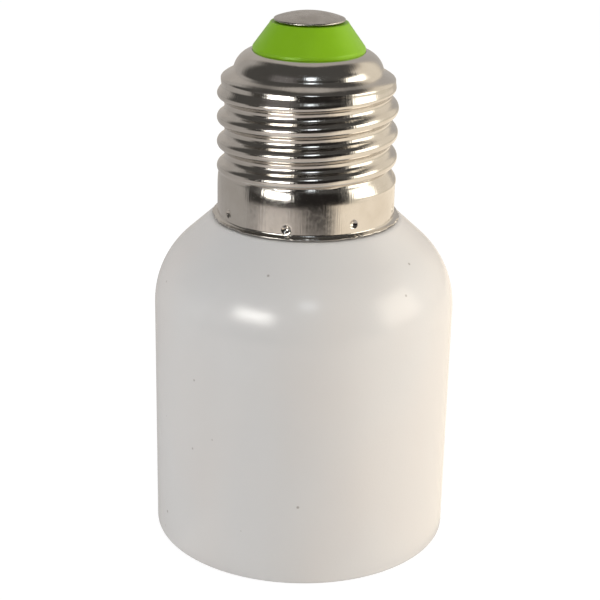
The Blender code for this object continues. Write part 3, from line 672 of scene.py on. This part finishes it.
def build_housing():
    """White body: bore for the socket, domed shoulder and hollow neck."""
    step_z = landing_z + SKIRT_HEIGHT - NECK_STEP_DROP
    landing_radius = hem_radius + LANDING_MARGIN
    outline = [(0.0, neck_top_z), (neck_upper, neck_top_z), (neck_upper, step_z),
               (neck_lower, step_z - (neck_lower - neck_upper)), (neck_lower, landing_z)]
    outline += shoulder_profile(0.0, body_radius, 0.0, landing_radius)
    outline += [(0.0, 0.0)]
    mesh = lathe("housing", filleted(outline, RIM_ROUND), even_turns(STEPS))
    slot_half = LEAD_RADIUS + RUN_GAP
    mesh = carved(mesh, box_mesh("neck_slot", (-slot_half, neck_bore / 2, neck_top_z - SLOT_DEPTH),
                                 (slot_half, neck_lower + OVERSHOOT, neck_top_z + OVERSHOOT)))

    chamber_radius = body_bore - LEDGE_WIDTH
    core = [(0.0, neck_top_z + OVERSHOOT), (neck_bore, neck_top_z + OVERSHOOT)]
    core += shoulder_profile(SHOULDER_WALL, chamber_radius, ledge_z, neck_bore)
    core += [(body_bore, ledge_z), (body_bore, RIM_ROUND), (body_bore + RIM_ROUND, -RIM_ROUND),
             (0.0, -RIM_ROUND)]
    mould_core = lathe("mould_core", core, even_turns(STEPS))
    bosses = screw_posts("bosses", BOSS_RADIUS, ledge_z + FACE_GAP, neck_top_z)
    pilots = screw_posts("pilots", SCREW_RADIUS + RUN_GAP, ledge_z - OVERSHOOT, ledge_z + PILOT_DEPTH)
    mould_core = carved(carved(mould_core, bosses), pilots, "UNION")
    add_piece("housing", carved(mesh, mould_core))


def socket_radius_at(r, z, turn):
    """Shapes the socket's outline: plain lip at the mouth, thread, plain top."""
    thread_low = socket_low_z + SOCKET_LIP
    thread_high = socket_top_z - SOCKET_SHEET - SOCKET_TOP_BEND
    if z > thread_high:
        return r
    wave = thread_wave((z - socket_low_z) / SOCKET_PITCH - turn / math.tau,
                       SOCKET_PITCH, SOCKET_MAJOR, SOCKET_MINOR)
    lip = ease((z - thread_low) / SOCKET_PITCH)
    top = ease((thread_high - z) / SOCKET_PITCH)
    return r + SOCKET_MAJOR * (1 - lip) + wave * (lip + top - 1) - socket_radius * top


def build_socket_shell():
    """E40 socket: plain lip, rolled thread and an inward flange against the seat."""
    flange_z = socket_top_z - SOCKET_SHEET
    thread_high = flange_z - SOCKET_TOP_BEND
    outer_radius = socket_radius + SOCKET_SHEET
    heights = rows(thread_high, socket_low_z, SOCKET_ROW)
    bend_radius = SOCKET_TOP_BEND + SOCKET_SHEET
    outline = [(flange_inner, socket_top_z)]
    outline += arc(flange_outer, thread_high, bend_radius, math.pi / 2, 0.0, BEND_STEP)
    outline += [(outer_radius, z) for z in heights]
    outline += [(outer_radius, socket_low_z), (socket_radius, socket_low_z)]
    outline += [(socket_radius, z) for z in reversed(heights)]
    outline += arc(flange_outer, thread_high, SOCKET_TOP_BEND, 0.0, math.pi / 2, BEND_STEP)
    outline += [(flange_inner, flange_z)]
    mesh = lathe("socket_shell", filleted(outline, SOCKET_SHEET / 3, closed=True), even_turns(STEPS),
                 closed=True, radius_at=socket_radius_at)
    holes = fixing_holes(flange_z - OVERSHOOT, socket_top_z + OVERSHOOT)
    add_piece("socket_shell", carved(mesh, posts_mesh("flange_posts", holes)))


def fixing_holes(low, high):
    """Screw holes on the X axis and rivet holes on the Y axis, on the fixing circle."""
    holes = []
    for side in (-1, 1):
        holes.append((side * fixing_circle, 0.0, SCREW_RADIUS + RUN_GAP, low, high))
        holes.append((0.0, side * fixing_circle, SHELL_RIVET + RUN_GAP, low, high))
    return holes


def leaf_rivet_places():
    """Places of the leaf's two rivets."""
    return [(LEAF_RIVET_X, side * LEAF_RIVET_Y) for side in (-1, 1)]


def build_socket_seat():
    """Ceramic disc that closes the socket, with a pocket over the contact stud."""
    pocket = STUD_TAIL + STUD_POCKET_MARGIN
    pocket_z = max(seat_low_z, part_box("contact_stud")[1].z + CONTACT_TRAVEL) + STUD_POCKET
    outline = [(0.0, seat_top_z), (seat_radius, seat_top_z), (seat_radius, seat_low_z),
               (pocket, seat_low_z), (pocket, pocket_z), (0.0, pocket_z)]
    mesh = lathe("socket_seat", filleted(outline, SEAT_EDGE), even_turns(STEPS))
    low, high = seat_low_z - OVERSHOOT, seat_top_z + OVERSHOOT
    holes = fixing_holes(low, high)
    holes += [(x, y, LEAF_RIVET + RUN_GAP, low, high) for x, y in leaf_rivet_places()]
    add_piece("socket_seat", carved(mesh, posts_mesh("seat_posts", holes)))


def rounded_path(corners, radius):
    """Corners of an open path with each inner one replaced by a short curve."""
    path = [corners[0]]
    for before, corner, after in zip(corners, corners[1:], corners[2:]):
        start = corner + (before - corner).normalized() * radius
        end = corner + (after - corner).normalized() * radius
        path += bend(start, corner, end, BEND_STEPS)
    path.append(corners[-1])
    return path


def build_contact_leaf():
    """Bronze strip with rounded corners: root under the seat, free end down on the axis."""
    corners = [Vector((leaf_root_x, leaf_root_z)), Vector((LEAF_BEND_START, leaf_root_z)),
               Vector((LEAF_BEND_END, leaf_tip_z)), Vector((LEAF_TIP, leaf_tip_z)),
               Vector((leaf_end_x, leaf_tip_z + LEAF_CURL_RISE))]
    bends = rounded_path(corners, LEAF_BEND_ROUND)
    path = [bends[0]]
    for a, b in zip(bends, bends[1:]):
        count = max(1, round((b - a).length / LEAF_STEP))
        path += [a.lerp(b, (i + 1) / count) for i in range(count)]
    points, travelled = [], 0.0
    length = sum((b - a).length for a, b in zip(path, path[1:]))
    for before, place in zip([path[0]] + path, path):
        travelled += (place - before).length
        short = max(0.0, LEAF_CORNER - min(travelled, length - travelled))
        half = LEAF_WIDTH / 2 - LEAF_CORNER + math.sqrt(LEAF_CORNER ** 2 - short ** 2)
        points += [(place.x, side * half, place.y) for side in (-1, 1)]
    faces = [(2 * i, 2 * i + 2, 2 * i + 3, 2 * i + 1) for i in range(len(path) - 1)]
    strip = new_object("contact_leaf", new_mesh("contact_leaf", points, faces))
    wall = strip.modifiers.new("sheet", "SOLIDIFY")
    wall.thickness = LEAF_THICKNESS
    wall.offset = 0.0
    holes = [(x, y, LEAF_RIVET + RUN_GAP, leaf_root_z - LEAF_THICKNESS, leaf_root_z + LEAF_THICKNESS)
             for x, y in leaf_rivet_places()]
    holes.append((0.0, 0.0, STUD_SHANK + RUN_GAP, leaf_tip_z - LEAF_THICKNESS,
                  leaf_tip_z + LEAF_THICKNESS))
    strip = new_object("leaf_strip", carved(evaluated_mesh(strip), posts_mesh("leaf_posts", holes)))
    edges = strip.modifiers.new("edges", "BEVEL")
    edges.width = LEAF_EDGE
    edges.segments = 2
    edges.limit_method = "ANGLE"
    edges.angle_limit = BEVELLED_EDGE
    leaf = fine_piece("contact_leaf", evaluated_mesh(strip))
    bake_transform(leaf)


def build_contact_stud():
    """Button on the axis, riveted through the leaf; its lower face meets the lamp."""
    leaf_low = leaf_tip_z - LEAF_THICKNESS / 2 - FACE_GAP
    leaf_high = leaf_tip_z + LEAF_THICKNESS / 2 + FACE_GAP
    tail_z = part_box("contact_stud")[1].z
    outline = [(0.0, tail_z), (STUD_TAIL, tail_z), (STUD_TAIL, leaf_high),
               (STUD_SHANK, leaf_high), (STUD_SHANK, leaf_low), (stud_radius, leaf_low),
               (stud_radius, stud_flat_z), (0.0, stud_flat_z)]
    mesh = lathe("contact_stud", filleted(outline, STUD_EDGE), even_turns(STEPS // 2))
    add_piece("contact_stud", mesh, body="contact")


def domed_head(radius, face_z, height):
    """Outline of a domed rivet head from its crown to its face; height is negative below."""
    crown_radius = (radius ** 2 + height ** 2) / (2 * abs(height))
    centre_z = face_z + height - math.copysign(crown_radius, height)
    edge = math.acos(radius / crown_radius)
    start = math.copysign(math.pi / 2, height)
    return arc(0.0, centre_z, crown_radius, start, math.copysign(edge, height), HEAD_STEP)


def build_rivets():
    """Rivets with domed heads, each as high as its CAD node."""
    for node, shank in (("shell_rivet_1", SHELL_RIVET), ("shell_rivet_2", SHELL_RIVET),
                        ("leaf_rivet_1", LEAF_RIVET), ("leaf_rivet_2", LEAF_RIVET)):
        low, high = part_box(node)
        head = (high.x - low.x) / 2
        top_z, foot_z = high.z - RIVET_HEAD_HEIGHT, low.z + RIVET_HEAD_HEIGHT
        outline = domed_head(head, top_z, RIVET_HEAD_HEIGHT) + [(shank, top_z), (shank, foot_z)]
        outline += reversed(domed_head(head, foot_z, -RIVET_HEAD_HEIGHT))
        mesh = lathe(node, outline, even_turns(SMALL_STEPS))
        mesh.transform(Matrix.Translation(((low.x + high.x) / 2, (low.y + high.y) / 2, 0.0)))
        add_piece(node, mesh)


def screw_radius_at(r, z, turn):
    """Cuts the self-tapping thread into the shank."""
    if abs(r - SCREW_RADIUS) > TINY:
        return r
    phase = z / SCREW_PITCH - turn / math.tau
    return r - SCREW_THREAD * min(1.0, SCREW_FLANK * abs(phase - round(phase)))


def build_seat_screws():
    """Pan-head screws through flange and seat into the housing's bosses."""
    for node in ("seat_screw_1", "seat_screw_2"):
        low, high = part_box(node)
        head, bearing_z = (high.x - low.x) / 2, low.z + SCREW_HEAD_HEIGHT
        outline = [(0.0, high.z), (SCREW_TIP_RADIUS, high.z - SCREW_TIP_LENGTH)]
        shank = rows(high.z - SCREW_TAPER_LENGTH, bearing_z, SCREW_ROW)
        outline += [(SCREW_RADIUS, z) for z in shank]
        outline += [(SCREW_RADIUS - SCREW_THREAD, bearing_z)]
        outline += filleted([(SCREW_RADIUS, bearing_z), (head, bearing_z), (head, low.z),
                             (0.0, low.z)], SCREW_HEAD_ROUND)
        mesh = lathe(node, outline, even_turns(SMALL_STEPS), radius_at=screw_radius_at)
        centre_x = (low.x + high.x) / 2
        mesh.transform(Matrix.Translation((centre_x, 0.0, 0.0)))
        slot = box_mesh(node + "_slot", (centre_x - SCREW_SLOT / 2, -head * 2, low.z - OVERSHOOT),
                        (centre_x + SCREW_SLOT / 2, head * 2, low.z + SCREW_SLOT))
        add_piece(node, carved(mesh, slot))


class Finish:
    """A Principled material whose colour, roughness and relief come from its nodes."""

    def __init__(self, name, metallic=0.0):
        self.material = bpy.data.materials.new(name)
        self.material.use_nodes = True
        self.tree = self.material.node_tree
        self.shader = self.tree.nodes["Principled BSDF"]
        self.shader.inputs["Metallic"].default_value = metallic
        self.place = self.add("ShaderNodeTexCoord").outputs["Object"]

    def add(self, kind, inputs=None, **settings):
        """A node with its settings and inputs, which are values or sockets to link."""
        node = self.tree.nodes.new(kind)
        for key, value in settings.items():
            setattr(node, key, value)
        for key, value in (inputs or {}).items():
            self.feed(node.inputs[key], value)
        return node

    def feed(self, socket, value):
        """Link a socket to an input, or set its value."""
        if isinstance(value, bpy.types.NodeSocket):
            self.tree.links.new(value, socket)
        else:
            socket.default_value = value

    def noise(self, rate, detail=2.0, stretch=(1.0, 1.0, 1.0), place=None):
        """Noise from 0 to 1 with this many waves per metre."""
        mapping = self.add("ShaderNodeMapping", {"Vector": place or self.place, "Scale": stretch})
        node = self.add("ShaderNodeTexNoise", {"Vector": mapping.outputs[0], "Scale": rate,
                                               "Detail": detail})
        return node.outputs[0]

    def spread(self, value, low, high, to_low=0.0, to_high=1.0):
        """Values from low to high spread over another range, and clamped to it."""
        return self.add("ShaderNodeMapRange", {"Value": value, "From Min": low, "From Max": high,
                                               "To Min": to_low, "To Max": to_high}).outputs[0]

    def math(self, operation, a, b):
        """The result of an operation on two values or sockets."""
        return self.add("ShaderNodeMath", {0: a, 1: b}, operation=operation).outputs[0]

    def mix(self, factor, a, b):
        """Colour a where factor is 0 and b where it is 1."""
        a, b = [c if isinstance(c, bpy.types.NodeSocket) else (*c, 1.0) for c in (a, b)]
        return self.add("ShaderNodeMix", {0: factor, 6: a, 7: b}, data_type="RGBA").outputs[2]

    def bump(self, height, depth, before=None):
        """Relief of this depth in metres, on top of an earlier one."""
        inputs = {"Height": height, "Distance": depth, "Strength": 1.0}
        if before:
            inputs["Normal"] = before
        return self.add("ShaderNodeBump", inputs).outputs[0]

    def done(self, colour, roughness, normal):
        """Link these to the shader, which makes the material whole."""
        self.feed(self.shader.inputs["Base Color"], colour)
        self.feed(self.shader.inputs["Roughness"], roughness)
        self.feed(self.shader.inputs["Normal"], normal)
        return self.material


def white_plastic():
    """Satin white moulding with faint blotches, fine grain and a few dark specks."""
    finish = Finish("white_plastic")
    cloud = finish.spread(finish.noise(rate=70, detail=3.0), low=0.35, high=0.65)
    warm = finish.spread(finish.noise(rate=45, stretch=(1.0, 1.0, 0.6)), low=0.4, high=0.7)
    colour = finish.mix(cloud, WHITE, WHITE_CLOUD)
    colour = finish.mix(warm, colour, WHITE_WARM)
    cells = finish.add("ShaderNodeTexVoronoi", {"Vector": finish.place, "Scale": SPECK_RATE}).outputs
    share = finish.add("ShaderNodeSeparateColor", {0: cells["Color"]}).outputs[0]
    chosen = finish.math("GREATER_THAN", share, SPECK_NONE)
    near = finish.spread(cells["Distance"], low=0.03, high=0.07, to_low=1.0, to_high=0.0)
    speck = finish.math("MULTIPLY", finish.math("MULTIPLY", near, chosen), SPECK_STRENGTH)
    colour = finish.mix(speck, colour, SPECK_COLOUR)
    roughness = finish.spread(finish.noise(rate=120), low=0.3, high=0.7, to_low=0.19, to_high=0.24)
    grain = finish.bump(finish.noise(rate=2600), depth=0.00001)
    ripple = finish.bump(finish.noise(rate=200), depth=0.00002, before=grain)
    return finish.done(colour, roughness, ripple)


def plated_metal(name, colour, shade, roughness, chatter):
    """Plated sheet: cloudy shine, faint scuffs and fine upright chatter marks."""
    finish = Finish(name, metallic=1.0)
    split = finish.add("ShaderNodeSeparateXYZ", {0: finish.place}).outputs
    turn = finish.math("ARCTAN2", split[1], split[0])
    length = finish.math("MULTIPLY", turn, CAP_MAJOR)
    height = finish.math("MULTIPLY", split[2], CHATTER_SQUEEZE)
    around = finish.add("ShaderNodeCombineXYZ", {0: length, 2: height}).outputs[0]
    cloud = finish.spread(finish.noise(rate=350, detail=4.0), low=0.35, high=0.7)
    tint = finish.mix(cloud, colour, shade)
    marks = finish.noise(rate=3800, place=around)
    scuffs = finish.spread(finish.noise(rate=1500, detail=4.0), low=0.45, high=0.75,
                           to_low=roughness, to_high=roughness * 1.6)
    relief = finish.bump(marks, chatter)
    relief = finish.bump(finish.noise(rate=400), chatter / 2, relief)
    return finish.done(tint, scuffs, relief)


def green_plastic():
    """Satin yellow-green moulding with fine grain."""
    finish = Finish("green_plastic")
    cloud = finish.spread(finish.noise(rate=220, detail=3.0), low=0.3, high=0.7)
    colour = finish.mix(cloud, GREEN, GREEN_CLOUD)
    roughness = finish.spread(finish.noise(rate=1200, detail=3.0), low=0.3, high=0.7,
                              to_low=0.3, to_high=0.4)
    finish.shader.inputs["Specular IOR Level"].default_value = GREEN_GLOSS
    grain = finish.bump(finish.noise(rate=3000, detail=3.0), depth=0.00001)
    return finish.done(colour, roughness, grain)


def bare_metal(name, colour, stain, roughness):
    """Bare metal with handling stains and fine scratches."""
    finish = Finish(name, metallic=1.0)
    cloud = finish.spread(finish.noise(rate=420, detail=4.0), low=0.4, high=0.7)
    tint = finish.mix(cloud, colour, stain)
    scratches = finish.noise(rate=1800, detail=3.0, stretch=(1.0, 0.15, 0.15))
    dull = finish.spread(finish.noise(rate=900, detail=4.0), low=0.35, high=0.75,
                         to_low=roughness, to_high=roughness * 2)
    return finish.done(tint, dull, finish.bump(scratches, depth=0.000008))


def seat_ceramic():
    """Unglazed steatite: grainy, with small dark pore spots that are painted shade."""
    finish = Finish("seat_ceramic")
    cloud = finish.spread(finish.noise(rate=260, detail=4.0), low=0.3, high=0.7)
    colour = finish.mix(cloud, CERAMIC, CERAMIC_CLOUD)
    # Dark pore spots: painted shade of tiny pits, which the mesh doesn't have
    pore_shade = finish.spread(finish.noise(rate=2200, detail=4.0), low=0.28, high=0.36,
                          to_low=1.0, to_high=0.0)
    colour = finish.mix(finish.math("MULTIPLY", pore_shade, PORE_SHADE_STRENGTH), colour, CERAMIC_PORE_SHADE)
    grain = finish.bump(finish.noise(rate=1600, detail=4.0), depth=0.00006)
    roughness = finish.spread(cloud, low=0.0, high=1.0, to_low=0.5, to_high=0.66)
    return finish.done(colour, roughness, grain)


def lead_sleeve(name, colour, shade):
    """Soft insulating sleeve, slightly mottled."""
    finish = Finish(name)
    cloud = finish.spread(finish.noise(rate=900, detail=3.0), low=0.3, high=0.7)
    tint = finish.mix(cloud, colour, shade)
    roughness = finish.spread(cloud, low=0.0, high=1.0, to_low=0.38, to_high=0.52)
    return finish.done(tint, roughness, finish.bump(finish.noise(rate=2500), depth=0.00002))


def make_finishes():
    """Every finish by the name of its material slot."""
    made = {"white_plastic": white_plastic(), "green_plastic": green_plastic(),
            "seat_ceramic": seat_ceramic()}
    for make, looks in ((plated_metal, PLATED), (bare_metal, BARE), (lead_sleeve, SLEEVES)):
        made.update({name: make(name, *look) for name, look in looks.items()})
    return made


def finish_kept_nodes():
    """The finishes of the CAD nodes that stay."""
    for node in ("neutral_tag", "live_tag", "live_lead_core", "live_lead_sleeve",
                 "neutral_lead_core", "neutral_lead_sleeve"):
        materials = frame["nodes"][node].data.materials
        materials.clear()
        materials.append(finishes[slot_of[node]])


def add_camera():
    """The camera at the photograph's place, with its lens."""
    camera = new_object("camera", bpy.data.cameras.new("camera"))
    bpy.context.scene.camera = camera
    camera.data.lens = CAMERA_LENS
    camera.data.sensor_width = CAMERA_SENSOR
    camera.data.clip_start = CAMERA_CLIP
    ahead = Vector((math.sin(CAMERA_YAW) * math.cos(CAMERA_PITCH),
                    math.cos(CAMERA_YAW) * math.cos(CAMERA_PITCH), -math.sin(CAMERA_PITCH)))
    right = ahead.cross(Vector((0.0, 0.0, 1.0))).normalized()
    up = right.cross(ahead)
    turned_right = right * math.cos(CAMERA_ROLL) + up * math.sin(CAMERA_ROLL)
    turned_up = up * math.cos(CAMERA_ROLL) - right * math.sin(CAMERA_ROLL)
    axes = Matrix((turned_right, turned_up, -ahead)).transposed().to_4x4()
    camera.matrix_world = Matrix.Translation((0.0, -CAMERA_DISTANCE, CAMERA_HEIGHT)) @ axes


def direction(azimuth, elevation):
    """Unit vector to an azimuth and elevation in degrees."""
    a, e = math.radians(azimuth), math.radians(elevation)
    return Vector((math.sin(a) * math.cos(e), -math.cos(a) * math.cos(e), math.sin(e)))


def add_lamp(name, azimuth, elevation, distance, size, power, colour):
    """A soft box that faces the object."""
    lamp = new_object(name, bpy.data.lights.new(name, "AREA"))
    lamp.data.shape = "DISK"
    lamp.data.size = size
    lamp.data.energy = power
    lamp.data.color = colour
    away = direction(azimuth, elevation)
    lamp.location = Vector((0.0, 0.0, LAMP_AIM)) + away * distance
    lamp.rotation_mode = "QUATERNION"
    lamp.rotation_quaternion = away.to_track_quat("Z", "Y")
    lamp.visible_camera = False
    lamp.visible_glossy = False


def emptied_tree(owner):
    """The nodes and links of a material or world, with no node left in it."""
    owner.use_nodes = True
    owner.node_tree.nodes.clear()
    return owner.node_tree.nodes, owner.node_tree.links


def mixed(nodes, links, factor, first, second):
    """The second of two shaders where factor is 1."""
    mix = nodes.new("ShaderNodeMixShader")
    links.new(factor, mix.inputs[0])
    links.new(first, mix.inputs[1])
    links.new(second, mix.inputs[2])
    return mix.outputs[0]


def card_material():
    """Light and cover of a card, read from its mesh."""
    material = bpy.data.materials.new("card")
    nodes, links = emptied_tree(material)
    cover = nodes.new("ShaderNodeAttribute")
    cover.attribute_name = "cover"
    light = nodes.new("ShaderNodeAttribute")
    light.attribute_name = "light"
    glow = nodes.new("ShaderNodeEmission")
    links.new(light.outputs["Color"], glow.inputs["Color"])
    clear = nodes.new("ShaderNodeBsdfTransparent").outputs[0]
    look = mixed(nodes, links, cover.outputs["Fac"], clear, glow.outputs[0])
    links.new(look, nodes.new("ShaderNodeOutputMaterial").inputs[0])
    return material


def edge_cover(value, values, soft):
    """From 0 at the ends of the values to 1 inside them; without a soft width it is 1 throughout."""
    if not soft:
        return 1.0
    return ease((value - values[0]) / soft) * ease((values[-1] - value) / soft)


def add_card(name, material, across, up, softs, light, place):
    """A soft-edged card that only reflections show; place turns its two coordinates to a point."""
    points = [place(u, v) for v in up for u in across]
    covers = [edge_cover(u, across, softs[0]) * edge_cover(v, up, softs[1])
              for v in up for u in across]
    width = len(across)
    faces = [(i * width + j, i * width + j + 1, (i + 1) * width + j + 1, (i + 1) * width + j)
             for i in range(len(up) - 1) for j in range(width - 1)]
    mesh = new_mesh(name, points, faces)
    mesh.attributes.new("cover", "FLOAT", "POINT").data.foreach_set("value", covers)
    shade = mesh.attributes.new("light", "FLOAT_COLOR", "POINT")
    shade.data.foreach_set("color", [*light, 1.0] * len(points))
    mesh.materials.append(material)
    card = new_object(name, mesh)
    card.visible_camera = card.visible_diffuse = card.visible_shadow = False
    card.visible_transmission = False


def add_cards():
    """Curved cards around the cap, and flat ones on the table."""
    material = card_material()
    centre = Vector((0.0, 0.0, CARD_CENTRE))
    for name, (distance, azimuths, elevations, soft, light) in CARDS.items():
        add_card(name, material, spaced(azimuths, CARD_STEP), spaced(elevations, CARD_STEP),
                 (soft, soft), light, lambda a, e: centre + direction(a, e) * distance)
    for level, (name, (azimuths, distances, softs, light)) in enumerate(TABLE_CARDS.items()):
        lift = Vector((0.0, 0.0, TABLE_SPACING * level))
        add_card(name, material, spaced(azimuths, CARD_STEP), spaced(distances, TABLE_STEP), softs,
                 light, lambda a, d: lift + direction(a, 0) * d)


def seen_directly(nodes, links):
    """1 for what the camera sees, also by reflection or through a clear material."""
    path = nodes.new("ShaderNodeLightPath")
    seen = path.outputs["Is Camera Ray"]
    for ray in ("Is Glossy Ray", "Is Transmission Ray"):
        either = nodes.new("ShaderNodeMath")
        either.operation = "MAXIMUM"
        links.new(seen, either.inputs[0])
        links.new(path.outputs[ray], either.inputs[1])
        seen = either.outputs[0]
    return seen


def add_world():
    """White background where it is seen, and an even fill for the rest."""
    world = bpy.data.worlds.new("studio")
    bpy.context.scene.world = world
    nodes, links = emptied_tree(world)
    lights = []
    for strength in (FILL_LIGHT, WHITE_LIGHT):
        light = nodes.new("ShaderNodeBackground")
        light.inputs["Color"].default_value = (1.0, 1.0, 1.0, 1.0)
        light.inputs["Strength"].default_value = strength
        lights.append(light.outputs[0])
    look = mixed(nodes, links, seen_directly(nodes, links), *lights)
    links.new(look, nodes.new("ShaderNodeOutputWorld").inputs[0])


def grey_diffuse(nodes, grey):
    """A matt shader of one grey."""
    matt = nodes.new("ShaderNodeBsdfDiffuse")
    matt.inputs["Color"].default_value = (grey, grey, grey, 1.0)
    return matt.outputs[0]


def add_floor():
    """Pale floor that looks white and keeps a soft shadow. It is clear from below and open under
    the socket, so that the inside is lit and can be looked at."""
    turns = even_turns(STEPS)
    points = [(radius * math.cos(turn), radius * math.sin(turn), -FLOOR_DROP)
              for radius in (FLOOR_OPENING, FLOOR_RADIUS) for turn in turns]
    faces = [(i, i + STEPS, (i + 1) % STEPS + STEPS, (i + 1) % STEPS) for i in range(STEPS)]
    mesh = new_mesh("floor", points, faces)
    floor = new_object("floor", mesh)
    floor.visible_glossy = False
    material = bpy.data.materials.new("pale_floor")
    nodes, links = emptied_tree(material)
    glow = nodes.new("ShaderNodeEmission")
    glow.inputs["Strength"].default_value = FLOOR_GLOW
    seen = nodes.new("ShaderNodeAddShader")
    links.new(grey_diffuse(nodes, FLOOR_SEEN_GREY), seen.inputs[0])
    links.new(glow.outputs[0], seen.inputs[1])
    lit = grey_diffuse(nodes, FLOOR_GREY)
    above = mixed(nodes, links, seen_directly(nodes, links), lit, seen.outputs[0])
    below = nodes.new("ShaderNodeNewGeometry").outputs["Backfacing"]
    clear = nodes.new("ShaderNodeBsdfTransparent").outputs[0]
    links.new(mixed(nodes, links, below, above, clear), nodes.new("ShaderNodeOutputMaterial").inputs[0])
    mesh.materials.append(material)


bpy.context.scene.view_settings.view_transform = "Standard"
add_camera()
finishes = make_finishes()
build_housing()
build_cap_shell()
build_tip_insulator()
build_tip_contact()
build_socket_seat()
build_socket_shell()
build_contact_leaf()
build_contact_stud()
build_rivets()
build_seat_screws()
finish_kept_nodes()
add_world()
add_floor()
for lamp_name, lamp in LAMPS.items():
    add_lamp(lamp_name, *lamp)
add_cards()
